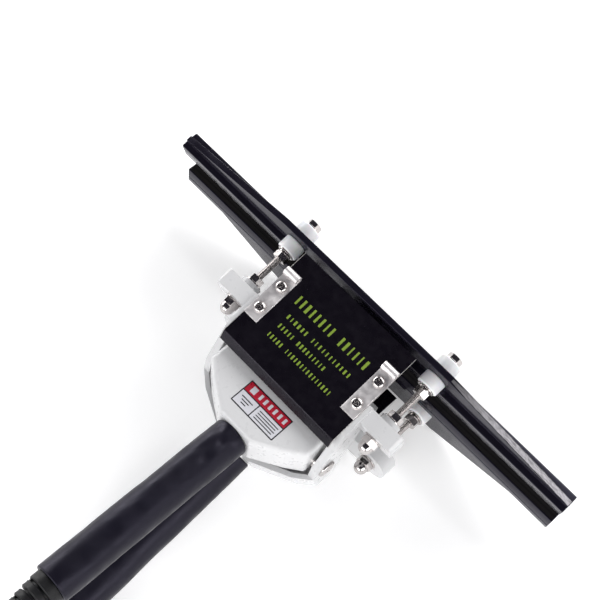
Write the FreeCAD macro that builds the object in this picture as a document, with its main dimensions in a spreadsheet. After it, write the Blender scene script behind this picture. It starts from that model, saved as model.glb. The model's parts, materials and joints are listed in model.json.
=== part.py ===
import FreeCAD, Part
import math
import os
import Sketcher
from FreeCAD import Placement, Rotation, Vector

# A hand-held jaw sealer, in millimetres.  Every piece is drawn with the jaws shut, with the hinge axis
# along X through the origin, the jaws along X in front of it (+Y) and the handles behind it (-Y).
# The upper-jaw side is then turned up about the hinge, and the lower-jaw side turned down.

doc = FreeCAD.newDocument("hand_sealer")
sheet = doc.addObject("Spreadsheet::Sheet", "Sizes")

SIZES = {
    "half_opening": 7.17,        # each jaw's angle from shut, in degrees
    "jaw_length": 400,
    "jaw_reach": 102.7,          # hinge axis to the middle of the jaws
    "bar_width": 15.4,
    "bar_top": 17,               # back of the heated bar above the sealing plane
    "bar_bottom": 0.8,
    "strip_bottom": 0.1,         # half of the gap that the film takes
    "strip_width": 13,
    "web_thickness": 5,
    "web_end": 19.5,             # fin height above the sealing plane at the tips
    "web_top": 48,
    "web_flat": 84,              # half of the fin's level stretch
    "heater_radius": 4,
    "heater_level": 8.6,
    "stud_spread": 73,
    "stud_level": 27.3,
    "stud_radius": 3,
    "stud_hole": 3.2,
    "stud_front": 117,           # underside of the hexagon head
    "stud_back": 29,
    "bush_radius": 8.9,
    "front_bush_end": 116,
    "rear_bush_end": 89.6,
    "hexagon_radius": 6.1,
    "head_height": 4,
    "nut_height": 5.2,
    "acorn_radius": 7,
    "acorn_base": 5,
    "dome_radius": 5.7,
    "washer_sheet": 1.2,
    "washer_radius": 7.2,
    "head_washer": 6.6,
    "acorn_washer": 7.6,
    "split_radius": 5.7,
    "split_height": 1.6,
    "ear_front": 50,
    "ear_back": 36.5,
    "ear_side": 89.5,
    "ear_low": 15,
    "ear_high": 42,
    "boss_end": 54.8,            # round seat of the nut, in front of an ear
    "boss_radius": 8.5,
    "wall": 3.5,
    "shell_height": 36,
    "shell_rim": 0.7,
    "shell_corner": 4,
    "outer_half": 60,            # half width over the outer arm's cheeks
    "outer_cheek": 6,
    "ledge_level": 39,
    "ledge_width": 12.3,
    "ledge_back": 22,
    "inner_half": 51,
    "inner_cheek": 5,
    "pivot_radius": 4,
    "bolt_head": 7.5,
    "bolt_end": 40,              # inner end of each pivot bolt
    "spacer_radius": 8,
    "spacer_sheet": 2.9,
    "pivot_hexagon": 7.2,
    "pivot_nut": 4.5,
    "pivot_gap": 0.45,           # between a pivot nut and the inner cheek
    "handle_level": 17,          # handle axis above the sealing plane at the neck
    "upper_slope": 4.2,          # each handle's rise from the neck to its end, in degrees
    "lower_slope": 1.5,
    "neck_back": 38,
    "tube_radius": 13.4,
    "tube_bore": 11.9,
    "tube_length": 178,
    "grip_radius": 15.5,
    "grip_start": 16,
    "sleeve_gap": 1.2,           # bare tube between the shell and the sleeve
    "cover_half": 56.5,
    "cover_back": 14,
    "cover_front": 96,
    "cover_top": 46,
    "low_cover_half": 49.5,      # the cover under the lower arm is narrower and a little longer
    "low_cover_front": 97.5,
    "low_screw_inset": 39.5,
    "sheet_metal": 1.2,
    "clip_width": 13,
    "clip_inset": 49.8,
    "clip_back": 34,
    "clip_front": 80,
    "clip_tab": 7,
    "screw_back": 43.8,
    "screw_front": 65.4,
    "screw_hole": 2.1,
    "clip_hole": 2.6,
    "pan_radius": 4.5,
    "pan_height": 3.4,
    "relief_bore": 3.4,
    "spring_low": -32.2,
    "spring_high": 33.2,
    "spring_across": -7.9,
    "spring_coils": 9,
    "spring_radius": 6,
    "wire_radius": 0.9,
}
for row, (alias, value) in enumerate(SIZES.items(), start=1):
    sheet.set(f"A{row}", alias)
    sheet.set(f"B{row}", str(value))
    sheet.setAlias(f"B{row}", alias)
doc.recompute()

RAISED = Rotation(Vector(1, 0, 0), SIZES["half_opening"])
LOWERED = Rotation(Vector(1, 0, 0), -SIZES["half_opening"])
ALONG_X = Rotation(Vector(0, 1, 0), 90)
ALONG_Y = Rotation(Vector(1, 0, 0), -90)
HALF_TURN = Rotation(Vector(0, 1, 0), 180)
nodes = []


def value_of(name):
    return float(sheet.get(name))


def bind(piece, **expressions):
    """Ties properties of a piece to the sheet; x, y and z stand for its position."""
    for name, text in expressions.items():
        path = f"Placement.Base.{name}" if name in ("x", "y", "z") else name
        piece.setExpression(path, words(text))
    return piece


def words(text):
    """Puts the sheet's name before each size in an expression."""
    for alias in sorted(SIZES, key=len, reverse=True):
        text = text.replace(f"<{alias}>", f"Sizes.{alias}")
    return text


def box(name, length, width, height, x, y, z):
    piece = doc.addObject("Part::Box", name)
    return bind(piece, Length=length, Width=width, Height=height, x=x, y=y, z=z)


def rod(name, radius, height, turn, x, y, z):
    piece = doc.addObject("Part::Cylinder", name)
    piece.Placement = Placement(Vector(), turn)
    return bind(piece, Radius=radius, Height=height, x=x, y=y, z=z)


def hexagon(name, radius, height, turn, x, y, z):
    piece = doc.addObject("Part::Prism", name)
    piece.Polygon = 6
    piece.Placement = Placement(Vector(), turn)
    return bind(piece, Circumradius=radius, Height=height, x=x, y=y, z=z)


def fuse(name, pieces):
    joined = doc.addObject("Part::MultiFuse", name)
    joined.Shapes = pieces
    return joined


def cut(name, base, tools):
    tool = tools[0] if len(tools) == 1 else fuse(name + "_tools", tools)
    piece = doc.addObject("Part::Cut", name)
    piece.Base = base
    piece.Tool = tool
    return piece


def group(name, pieces):
    joined = doc.addObject("Part::Compound", name)
    joined.Links = pieces
    return joined


def keep(piece, label, turn):
    """Names a finished sub-part and puts it in its resting place."""
    piece.Label = label
    piece.Placement = Placement(Vector(), turn)
    nodes.append(piece)
    return piece


def origin_plane(body, role):
    return next(item for item in body.Origin.OriginFeatures if item.Role == role)


def outline(body, name, role, points, offset="0"):
    """A closed outline on one of the body's own planes, each corner held by two bound sizes."""
    sketch = body.newObject("Sketcher::SketchObject", name)
    sketch.AttachmentSupport = (origin_plane(body, role), [""])
    sketch.MapMode = "FlatFace"
    sketch.setExpression("AttachmentOffset.Base.z", words(offset))
    count = len(points)
    for index in range(count):
        start = Vector(index, index * index, 0)
        end = Vector(index + 1, (index + 1) ** 2, 0)
        sketch.addGeometry(Part.LineSegment(start, end))
    for index in range(count):
        sketch.addConstraint(Sketcher.Constraint("Coincident", index, 2, (index + 1) % count, 1))
    for index, (across, along) in enumerate(points):
        for kind, text in (("DistanceX", across), ("DistanceY", along)):
            number = sketch.addConstraint(Sketcher.Constraint(kind, -1, 1, index, 1, 1.0))
            sketch.setExpression(f"Constraints[{number}]", words(text))
    return sketch


def pad(body, name, sketch, length, midplane=False):
    feature = body.newObject("PartDesign::Pad", name)
    feature.Profile = sketch
    feature.Midplane = midplane
    feature.setExpression("Length", words(length))
    return feature


def pocket(body, name, sketch, length, backwards=False):
    feature = body.newObject("PartDesign::Pocket", name)
    feature.Profile = sketch
    feature.Reversed = backwards
    feature.setExpression("Length", words(length))
    return feature


def mirrored(points):
    """A half outline, listed from front to back on the right, closed with its left half."""
    return points + [(f"-({across})", along) for across, along in reversed(points)]


def jaw(side, turn):
    """The heated bar with its tapered fin, bored for the heater and the two studs."""
    body = doc.addObject("PartDesign::Body", side + "_jaw_body")
    bar = outline(body, side + "_bar_section", "YZ_Plane", [
        ("<jaw_reach> - <bar_width> / 2", "<bar_bottom>"),
        ("<jaw_reach> + <bar_width> / 2", "<bar_bottom>"),
        ("<jaw_reach> + <bar_width> / 2", "<bar_top>"),
        ("<jaw_reach> - <bar_width> / 2", "<bar_top>")])
    pad(body, side + "_bar", bar, "<jaw_length>", midplane=True)
    fin = outline(body, side + "_fin_side", "XZ_Plane", [
        ("-<jaw_length> / 2", "<bar_top> - 1"), ("<jaw_length> / 2", "<bar_top> - 1"),
        ("<jaw_length> / 2", "<web_end>"), ("<web_flat>", "<web_top>"),
        ("-<web_flat>", "<web_top>"), ("-<jaw_length> / 2", "<web_end>")],
        "-(<jaw_reach> + <web_thickness> / 2)")
    pad(body, side + "_fin", fin, "<web_thickness>")
    bores = [rod(side + "_heater_bore", "<heater_radius>", "<jaw_length>", ALONG_X,
                 "-<jaw_length> / 2", "<jaw_reach>", "<heater_level>")]
    for hand, sign in (("left", "-"), ("right", "")):
        bores.append(rod(f"{side}_{hand}_fin_hole", "<stud_hole>", "<web_thickness> + 2", ALONG_Y,
                         f"{sign}<stud_spread>", "<jaw_reach> - <web_thickness> / 2 - 1", "<stud_level>"))
    keep(cut(side + "_jaw_cut", body, bores), side + "_jaw", turn)


def seal_strip(side, turn):
    """The non-stick strip on the sealing face, with three long grooves."""
    strip = box(side + "_strip_blank", "<jaw_length> - 2", "<strip_width>", "<bar_bottom> - <strip_bottom>",
                "1 - <jaw_length> / 2", "<jaw_reach> - <strip_width> / 2", "<strip_bottom>")
    grooves = [box(f"{side}_groove_{index}", "<jaw_length>", "0.9", "0.4", "-<jaw_length> / 2",
                   f"<jaw_reach> - 0.45 + {index - 1} * 3.2", "<strip_bottom> - 0.1") for index in range(3)]
    keep(cut(side + "_strip_cut", strip, grooves), side + "_seal_strip", turn)


def heater(side, turn):
    """The cartridge heater in the bar, a little short of both tips, with its two smaller sheath ends."""
    cartridge = rod(side + "_cartridge", "<heater_radius> - 0.05", "<jaw_length> - 8", ALONG_X,
                    "4 - <jaw_length> / 2", "<jaw_reach>", "<heater_level>")
    ends = [rod(f"{side}_sheath_{hand}", "<heater_radius> - 1", "2", ALONG_X, place, "<jaw_reach>",
                "<heater_level>")
            for hand, place in (("left", "2 - <jaw_length> / 2"), ("right", "<jaw_length> / 2 - 4"))]
    keep(fuse(side + "_heater_body", [cartridge] + ends), side + "_heater", turn)


def ring(name, radius, start, length, x):
    """A washer or bush on a stud, from start towards the jaws."""
    disc = rod(name + "_disc", radius, length, ALONG_Y, x, start, "<stud_level>")
    hole = rod(name + "_hole", "<stud_hole>", f"({length}) + 2", ALONG_Y, x, f"({start}) - 1", "<stud_level>")
    return cut(name, disc, [hole])


def bush(name, start, length, x, rounded_end):
    """An insulating bush, rounded at its outer end."""
    disc = rod(name + "_disc", "<bush_radius>", length, ALONG_Y, x, start, "<stud_level>")
    doc.recompute()
    edges = [(number + 1, 1.2, 1.2) for number, edge in enumerate(disc.Shape.Edges)
             if edge.Curve.TypeId == "Part::GeomCircle"
             and abs(edge.CenterOfMass.y - value_of(rounded_end)) < 0.01]
    soft = doc.addObject("Part::Fillet", name + "_soft")
    soft.Base = disc
    soft.Edges = edges
    hole = rod(name + "_hole", "<stud_hole>", f"({length}) + 2", ALONG_Y, x, f"({start}) - 1", "<stud_level>")
    return cut(name, soft, [hole])


def nut(name, start, x):
    """A hexagon nut on a stud, its bore the size of the thread."""
    blank = hexagon(name + "_blank", "<hexagon_radius>", "<nut_height>", ALONG_Y, x, start, "<stud_level>")
    hole = rod(name + "_hole", "<stud_radius>", "8", ALONG_Y, x, f"({start}) - 1", "<stud_level>")
    return cut(name, blank, [hole])


def spring_washer(name, start, x):
    """A split ring; the split faces up."""
    whole = ring(name + "_ring", "<split_radius>", start, "<split_height>", x)
    gap = box(name + "_gap", "1.2", "4", "8", f"({x}) - 0.6", f"({start}) - 1", "<stud_level> + 1")
    return cut(name, whole, [gap])


def acorn(name, x):
    """A domed nut behind the ear, closed over the end of the stud."""
    start = "<ear_back> - 1"
    centre = f"{start} - <acorn_base> - 1.5"
    base = hexagon(name + "_base", "<acorn_radius>", "<acorn_base>", ALONG_Y, x, f"{start} - <acorn_base>",
                   "<stud_level>")
    dome = doc.addObject("Part::Sphere", name + "_dome")
    bind(dome, Radius="<dome_radius>", x=x, y=centre, z="<stud_level>")
    neck = rod(name + "_neck", "<dome_radius>", "2", ALONG_Y, x, centre, "<stud_level>")
    hole = rod(name + "_hole", "<stud_radius>", "<ear_back> - <stud_back>", ALONG_Y, x, "<stud_back>",
               "<stud_level>")
    return cut(name, fuse(name + "_solid", [base, neck, dome]), [hole])


def stud(name, x):
    """A long screw: hexagon head in front, plain rod through web and ear."""
    shank = rod(name + "_shank", "<stud_radius>", "<stud_front> - <stud_back>", ALONG_Y, x, "<stud_back>",
                "<stud_level>")
    head = hexagon(name + "_head", "<hexagon_radius>", "<head_height>", ALONG_Y, x, "<stud_front>",
                   "<stud_level>")
    return fuse(name, [shank, head])


def stud_sets(side, turn):
    """Both studs of a jaw with everything that is threaded on them."""
    places = [(side + "_left", "-<stud_spread>"), (side + "_right", "<stud_spread>")]
    web_front = "<jaw_reach> + <web_thickness> / 2"
    web_back = "<jaw_reach> - <web_thickness> / 2"
    split_start = "<rear_bush_end> - <washer_sheet> - <split_height>"
    bushes, flats, splits, nuts = [], [], [], []
    for name, x in places:
        bushes.append(bush(name + "_front_bush", web_front, f"<front_bush_end> - ({web_front})", x,
                           "front_bush_end"))
        bushes.append(bush(name + "_rear_bush", "<rear_bush_end>", f"({web_back}) - <rear_bush_end>", x,
                           "rear_bush_end"))
        flats.append(ring(name + "_head_washer", "<head_washer>", "<front_bush_end>", "1", x))
        flats.append(ring(name + "_bush_washer", "<washer_radius>", "<rear_bush_end> - <washer_sheet>",
                          "<washer_sheet>", x))
        flats.append(ring(name + "_ear_washer", "<washer_radius>", "<boss_end>", "<washer_sheet>", x))
        flats.append(ring(name + "_acorn_washer", "<acorn_washer>", "<ear_back> - 1", "1", x))
        splits.append(spring_washer(name + "_split", split_start, x))
        nuts.append(nut(name + "_jaw_nut", split_start + " - <nut_height>", x))
        nuts.append(nut(name + "_ear_nut", "<boss_end> + <washer_sheet>", x))
    keep(group(side + "_stud_pair", [stud(name + "_stud", x) for name, x in places]), side + "_studs", turn)
    keep(group(side + "_bush_set", bushes), side + "_insulators", turn)
    keep(group(side + "_washer_set", flats), side + "_washers", turn)
    keep(group(side + "_split_set", splits), side + "_spring_washers", turn)
    keep(group(side + "_nut_set", nuts), side + "_nuts", turn)
    keep(group(side + "_acorn_pair", [acorn(name + "_acorn", x) for name, x in places]),
         side + "_acorn_nuts", turn)


def shell(name, half, front, shoulder):
    """Half of the clam-shell body round the hinge: an open tray whose mouth faces the other half."""
    body = doc.addObject("PartDesign::Body", name)
    outside = mirrored([(half, front), (half, f"-{shoulder}"), (f"{half} - 13", f"-{shoulder} - 10"),
                        ("15", "-<neck_back>")])
    inside = mirrored([(f"{half} - <wall>", f"{front} + 1"), (f"{half} - <wall>", f"-{shoulder} + 2.2"),
                       (f"{half} - 14.3", f"-{shoulder} - 6.2"), ("13.5", "-<neck_back> + <wall>")])
    base = pad(body, name + "_block", outline(body, name + "_outside", "XY_Plane", outside, "<shell_rim>"),
               "<shell_height> - <shell_rim>")
    doc.recompute()
    edges = []
    for number, edge in enumerate(base.Shape.Edges, start=1):
        upright = abs(edge.tangentAt(edge.FirstParameter).z) > 0.9
        behind = edge.CenterOfMass.y < -10
        on_top = edge.CenterOfMass.z > value_of("shell_height") - 0.1
        level_front = on_top and edge.CenterOfMass.y > float(front) - 0.1
        if (upright and behind) or (on_top and not level_front):
            edges.append(f"Edge{number}")
    soft = body.newObject("PartDesign::Fillet", name + "_corners")
    soft.Base = (base, edges)
    soft.setExpression("Radius", words("<shell_corner>"))
    pocket(body, name + "_hollow", outline(body, name + "_inside", "XY_Plane", inside, "<shell_rim>"),
           "<shell_height> - <shell_rim> - <wall>", backwards=True)
    return body


def cheek(name, points, inner_face, thickness):
    """A side plate drawn on its side view, on the right; its twin is the mirror image."""
    body = doc.addObject("PartDesign::Body", name)
    pad(body, name + "_plate", outline(body, name + "_side", "YZ_Plane", points, inner_face), thickness)
    twin = doc.addObject("Part::Mirroring", name + "_twin")
    twin.Source = body
    twin.Base = Vector(0, 0, 0)
    twin.Normal = Vector(1, 0, 0)
    return [body, twin]


def handle_rod(side, name, radius, start, length):
    """A rod on a handle's axis, from a distance along it; the lower one is turned over afterwards."""
    slope = math.radians(value_of(side + "_slope"))
    piece = doc.addObject("Part::Cylinder", name)
    piece.Placement = Placement(Vector(), Rotation(Vector(1, 0, 0), 90 - value_of(side + "_slope")))
    along = f"({start})"
    bind(piece, Radius=radius, Height=length, x="0",
         y=f"-(<neck_back> - <grip_start>) - {along} * {math.cos(slope):.6f}",
         z=f"<handle_level> + ({along} - <grip_start>) * {math.sin(slope):.6f}")
    return piece


def socket(side):
    """The boss that holds the handle tube inside a shell."""
    return handle_rod(side, side + "_socket", "<tube_radius> + 2", "-2", "<grip_start> + 1")


def ears(name, inner_face, rounding):
    """The two lugs that the studs pass through, standing out from the cheeks, each with a round boss."""
    lugs = []
    for hand, sign in (("left", "-"), ("right", "")):
        near = inner_face if not sign else "-<ear_side>"
        lug = box(f"{name}_{hand}_lug", f"<ear_side> - ({inner_face})", "<ear_front> - <ear_back>",
                  "<ear_high> - <ear_low>", near, "<ear_back>", "<ear_low>")
        lugs.append(soft_lug(f"{name}_{hand}", lug, rounding))
        lugs.append(rod(f"{name}_{hand}_boss", "<boss_radius>", "<boss_end> - <ear_front> + 1", ALONG_Y,
                        f"{sign}<stud_spread>", "<ear_front> - 1", "<stud_level>"))
    return lugs


def soft_lug(name, lug, radius):
    """Rounds the outer upright corners of a lug's end view."""
    doc.recompute()
    side = value_of("ear_side")
    edges = []
    for number, edge in enumerate(lug.Shape.Edges, start=1):
        runs_back = abs(edge.tangentAt(edge.FirstParameter).y) > 0.9
        if runs_back and abs(abs(edge.CenterOfMass.x) - side) < 0.1:
            edges.append((number, radius, radius))
    soft = doc.addObject("Part::Fillet", name + "_soft")
    soft.Base = lug
    soft.Edges = edges
    return soft


def stud_holes(name):
    return [rod(f"{name}_{hand}_ear_hole", "<stud_hole>", "<boss_end> - <ear_back> + 2", ALONG_Y,
                f"{sign}<stud_spread>", "<ear_back> - 1", "<stud_level>")
            for hand, sign in (("left", "-"), ("right", ""))]


def flip(name, piece):
    """The mirror image of a piece below the sealing plane."""
    low = doc.addObject("Part::Mirroring", name)
    low.Source = piece
    low.Base = Vector(0, 0, 0)
    low.Normal = Vector(0, 0, 1)
    return low


def ledges(side, outer_edge):
    """The two rails that a cover is screwed to, along the insides of an arm's cheeks."""
    return [box(f"{side}_ledge_{hand}", "<ledge_width>", "56", "<cover_top> - <sheet_metal> - <ledge_level>",
                near, "<ledge_back>", "<ledge_level>")
            for hand, near in (("left", f"-({outer_edge})"), ("right", f"{outer_edge} - <ledge_width>"))]


def ledge_holes(side, inset):
    return [rod(f"{side}_ledge_hole_{index}", "<screw_hole>", "12", Rotation(), x, y, "36")
            for index, (x, y) in enumerate(screw_places(inset))]


def screw_places(inset):
    return [(f"{sign}{inset}", row) for sign in ("-", "") for row in ("<screw_back>", "<screw_front>")]


def upper_jaw_arm():
    """The casting with the outer cheeks: lower shell, upper ears and the cover's ledges.

    It is drawn upside down for the shell, so the shell and the socket are turned over first.
    """
    tray = shell("lower_shell", "<outer_half>", "0", "13")
    tray.Placement = Placement(Vector(), HALF_TURN)
    low_socket = flip("lower_socket_low", socket("lower"))
    sides = cheek("outer_cheek", [
        ("-12", "-<shell_height> + 6"), ("0", "-<shell_height>"), ("20", "-6"), ("<ear_back>", "14"),
        ("<ear_front>", "14"), ("<ear_front>", "<cover_top> - <sheet_metal>"),
        ("<ledge_back>", "<cover_top> - <sheet_metal>"), ("-8", "12"), ("-13", "-<shell_rim>")],
        "<outer_half> - <outer_cheek>", "<outer_cheek>")
    whole = fuse("outer_arm_solid", [tray, low_socket] + sides
                 + ledges("upper", "<outer_half> - <outer_cheek> + 0.8")
                 + ears("outer", "<outer_half> - <outer_cheek>", 3))
    seat = handle_rod("lower", "lower_tube_seat", "<tube_radius>", "0", "<tube_length>")
    pivots = [rod("outer_pivot_hole", "<pivot_radius>", "2 * <outer_half> + 2", ALONG_X,
                  "-<outer_half> - 1", "0", "0")]
    bores = [flip("lower_tube_seat_low", seat)] + pivots + ledge_holes("upper", "<clip_inset>")
    bores += stud_holes("outer")
    keep(cut("outer_arm_cut", whole, bores), "outer_arm", RAISED)


def lower_jaw_arm():
    """The casting that nests inside: upper shell, inner cheeks and the lower ears."""
    tray = shell("upper_shell", "<inner_half>", "25", "14")
    sides = cheek("inner_cheek", [
        ("-10", "<shell_rim> + 4"), ("-10", "<shell_rim>"), ("-7", "-10"),
        ("<ledge_back>", "-<cover_top> + <sheet_metal>"), ("<ear_front> - 1", "-<cover_top> + <sheet_metal>"),
        ("<ear_front> - 1", "-<ear_low> + 1"), ("<ear_back> - 1", "-<ear_low> + 1"),
        ("18", "4"), ("18", "<shell_height> - 4"), ("-4", "<shell_height> - 4")],
        "<inner_half> - <inner_cheek> - 0.4", "<inner_cheek>")
    lugs = ears("inner", "<inner_half> - <inner_cheek>", 13)
    rails = ledges("lower", "<inner_half> - <inner_cheek>")
    holes = stud_holes("inner") + ledge_holes("lower", "<low_screw_inset>")
    low_lugs = [flip(f"inner_lug_low_{index}", lug) for index, lug in enumerate(lugs + rails)]
    low_holes = [flip(f"inner_hole_low_{index}", hole) for index, hole in enumerate(holes)]
    whole = fuse("inner_arm_solid", [tray, socket("upper")] + sides + low_lugs)
    bore = handle_rod("upper", "upper_tube_seat", "<tube_radius>", "0", "<tube_length>")
    pivots = [rod("inner_pivot_hole", "<pivot_radius> + 0.05", "2 * <inner_half> + 2", ALONG_X,
                  "-<inner_half> - 1", "0", "0")]
    keep(cut("inner_arm_cut", whole, [bore] + pivots + low_holes), "inner_arm", LOWERED)


def handle(side, turn):
    """A steel tube with its sleeve; the lower one is the upper one turned over."""
    outer = handle_rod(side, side + "_tube_outer", "<tube_radius>", "0", "<tube_length>")
    inner = handle_rod(side, side + "_tube_inner", "<tube_bore>", "-1", "<tube_length> + 2")
    keep(cut(side + "_tube_cut", outer, [inner]), side + "_tube", turn)
    sleeve = handle_rod(side, side + "_sleeve_outer", "<grip_radius>", "<grip_start> + <sleeve_gap>",
                        "<tube_length> - <grip_start> - 2 - <sleeve_gap>")
    core = handle_rod(side, side + "_sleeve_inner", "<tube_radius>", "<grip_start> - 1", "<tube_length>")
    keep(cut(side + "_sleeve_cut", sleeve, [core]), side + "_grip", turn)


def strain_relief():
    """A ribbed rubber boot plugged into the upper handle, with a bore for the lead."""
    parts = [handle_rod("upper", "relief_plug", "<tube_bore>", "<tube_length> - 12", "12"),
             handle_rod("upper", "relief_collar", "12.8", "<tube_length>", "8")]
    for index in range(6):
        radius = 12 - index
        start = 8 + 7 * index
        parts.append(handle_rod("upper", f"relief_rib_{index}", f"{radius}",
                                f"<tube_length> + {start + 1.6}", "5.4"))
        parts.append(handle_rod("upper", f"relief_core_{index}", f"{radius - 2.2}",
                                f"<tube_length> + {start - 0.2}", "2.2"))
    bore = handle_rod("upper", "relief_bore_rod", "<relief_bore>", "<tube_length> - 20", "90")
    keep(cut("relief_cut", fuse("relief_solid", parts), [bore]), "strain_relief", LOWERED)


def end_cap(turn):
    """The plain plug in the end of the lower handle."""
    plug = handle_rod("lower", "cap_plug", "<tube_bore>", "<tube_length> - 10", "10")
    disc = handle_rod("lower", "cap_disc", "<grip_radius> - 1", "<tube_length>", "3")
    keep(fuse("cap_solid", [plug, disc]), "lower_end_cap", turn)


def cover(name, half, front, inset, turn):
    """A folded sheet over one side of the gap between the arms, bevelled inwards at the back."""
    body = doc.addObject("PartDesign::Body", name + "_body")
    profile = outline(body, name + "_profile", "YZ_Plane", [
        ("<cover_back> - 5.5", "<cover_top> - 7"), ("<cover_back>", "<cover_top>"),
        (front, "<cover_top>"), (front, "<cover_top> - <sheet_metal>"),
        ("<cover_back> + 0.6", "<cover_top> - <sheet_metal>"),
        ("<cover_back> - 4.5", "<cover_top> - 7.8")])
    pad(body, name + "_sheet", profile, f"2 * {half}", midplane=True)
    holes = [rod(f"{name}_hole_{index}", "<clip_hole>", "10", Rotation(), x, y, "<cover_top> - 5")
             for index, (x, y) in enumerate(screw_places(inset))]
    keep(cut(name + "_cut", body, holes), name, turn)


def clip(hand, sign):
    """A bright strip along one edge of the cover, its front end bent up into a tab."""
    left_edge = f"{sign}<clip_inset> - <clip_width> / 2"
    strip = box(hand + "_clip_strip", "<clip_width>", "<clip_front> - <clip_back>", "<sheet_metal>",
                left_edge, "<clip_back>", "<cover_top>")
    tab = box(hand + "_clip_tab", "<clip_width>", "<sheet_metal>", "<clip_tab>", left_edge,
              "<clip_front> - <sheet_metal>", "<cover_top>")
    lip = box(hand + "_clip_lip", "<clip_width>", "5", "<sheet_metal>", left_edge,
              "<clip_front> - 5", "<cover_top> + <clip_tab> - <sheet_metal>")
    holes = [rod(f"{hand}_clip_hole_{index}", "<clip_hole>", "4", Rotation(), f"{sign}<clip_inset>", row,
                 "<cover_top> - 1") for index, row in enumerate(("<screw_back>", "<screw_front>"))]
    bent = fuse(hand + "_clip_solid", [strip, tab, lip])
    keep(cut(hand + "_clip_cut", bent, holes), hand + "_clip", RAISED)


def pan_screw(name, x, y, seat):
    """A cross-recessed pan screw, standing on its seat."""
    dome = doc.addObject("Part::Sphere", name + "_dome")
    bind(dome, Radius="5.6", x=x, y=y, z=f"{seat} - 2.6")
    head = rod(name + "_head", "<pan_radius>", "<pan_height>", Rotation(), x, y, seat)
    round_head = doc.addObject("Part::Common", name + "_round")
    round_head.Base = dome
    round_head.Tool = head
    slots = [box(name + "_slot_a", "4.6", "1", "2", f"{x} - 2.3", f"{y} - 0.5", f"{seat} + 1.6"),
             box(name + "_slot_b", "1", "4.6", "2", f"{x} - 0.5", f"{y} - 2.3", f"{seat} + 1.6")]
    shank = rod(name + "_shank", "<screw_hole>", "9.4", Rotation(), x, y, f"{seat} - 9")
    return cut(name, fuse(name + "_solid", [round_head, shank]), slots)


def cover_screws(name, inset, seat, turn):
    screws = [pan_screw(f"{name}_{index}", x, y, seat) for index, (x, y) in enumerate(screw_places(inset))]
    keep(group(name + "_set", screws), name, turn)


def hinge_hardware():
    """Two short pivot bolts, a spacer between the cheeks and a nut inside on each."""
    bolts, spacers, nuts = [], [], []
    for hand, sign in (("left", -1), ("right", 1)):
        inner_end = "<bolt_end>" if sign > 0 else "-<outer_half>"
        head_start = "<outer_half>" if sign > 0 else "-<outer_half> - 3"
        shank = rod(f"{hand}_pivot_shank", "<pivot_radius>", "<outer_half> - <bolt_end>", ALONG_X, inner_end,
                    "0", "0")
        head = rod(f"{hand}_pivot_head", "<bolt_head>", "3", ALONG_X, head_start, "0", "0")
        slot = box(f"{hand}_pivot_slot", "2", "16", "1.6", f"{sign} * (<outer_half> + 2.6) - 1", "-8", "-0.8")
        bolts.append(cut(f"{hand}_pivot_bolt", fuse(f"{hand}_pivot_solid", [shank, head]), [slot]))
        start = f"{sign} * (<inner_half> + 1.55) - <spacer_sheet> / 2"
        disc = rod(f"{hand}_spacer_disc", "<spacer_radius>", "<spacer_sheet>", ALONG_X, start, "0", "0")
        bore = rod(f"{hand}_spacer_bore", "<pivot_radius>", "6", ALONG_X, f"{start} - 1", "0", "0")
        spacers.append(cut(f"{hand}_spacer", disc, [bore]))
        start = (f"{sign} * (<inner_half> - <inner_cheek> - <pivot_gap> - <pivot_nut> / 2)"
                 " - <pivot_nut> / 2")
        blank = hexagon(f"{hand}_pivot_nut_blank", "<pivot_hexagon>", "<pivot_nut>", ALONG_X, start, "0", "0")
        thread = rod(f"{hand}_pivot_nut_bore", "<pivot_radius>", "12", ALONG_X, f"{start} - 4", "0", "0")
        nuts.append(cut(f"{hand}_pivot_nut", blank, [thread]))
    keep(group("pivot_bolt_pair", bolts), "pivot_bolts", RAISED)
    keep(group("pivot_spacer_pair", spacers), "pivot_spacers", RAISED)
    keep(group("pivot_nut_pair", nuts), "pivot_nuts", RAISED)


def return_spring():
    """The coil spring that pushes the shells apart behind the hinge; it stands upright at rest."""
    coil = doc.addObject("Part::Helix", "spring_line")
    bind(coil, Pitch="(<spring_high> - <spring_low> - 2) / <spring_coils>",
         Height="<spring_high> - <spring_low> - 2", Radius="<spring_radius>",
         x="0", y="<spring_across>", z="<spring_low> + 1")
    doc.recompute()
    wire = doc.addObject("Part::Circle", "spring_wire")
    bind(wire, Radius="<wire_radius>")
    wire.Placement = Placement(coil.Shape.Vertexes[0].Point, Rotation(Vector(1, 0, 0), 90))
    sweep = doc.addObject("Part::Sweep", "spring_sweep")
    sweep.Sections = [wire]
    sweep.Spine = (coil, ["Edge1"])
    sweep.Solid = True
    sweep.Frenet = True
    keep(sweep, "return_spring", Rotation())


def return_spring():
    """The coil spring that pushes the shells apart behind the hinge; it stands upright at rest."""
    low, high, across = -32.2, 33.2, -7.9
    coil = doc.addObject("Part::Helix", "spring_line")
    coil.Pitch = (high - low - 2) / 9
    coil.Height = high - low - 2
    coil.Radius = 6
    coil.Placement.Base = Vector(0, across, low + 1)
    doc.recompute()
    start = coil.Shape.Vertexes[0].Point
    wire = doc.addObject("Part::Circle", "spring_wire")
    wire.Radius = 0.9
    wire.Placement = Placement(start, Rotation(Vector(1, 0, 0), 90))
    sweep = doc.addObject("Part::Sweep", "spring_sweep")
    sweep.Sections = [wire]
    sweep.Spine = (coil, ["Edge1"])
    sweep.Solid = True
    sweep.Frenet = True
    keep(sweep, "return_spring", Rotation())


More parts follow.
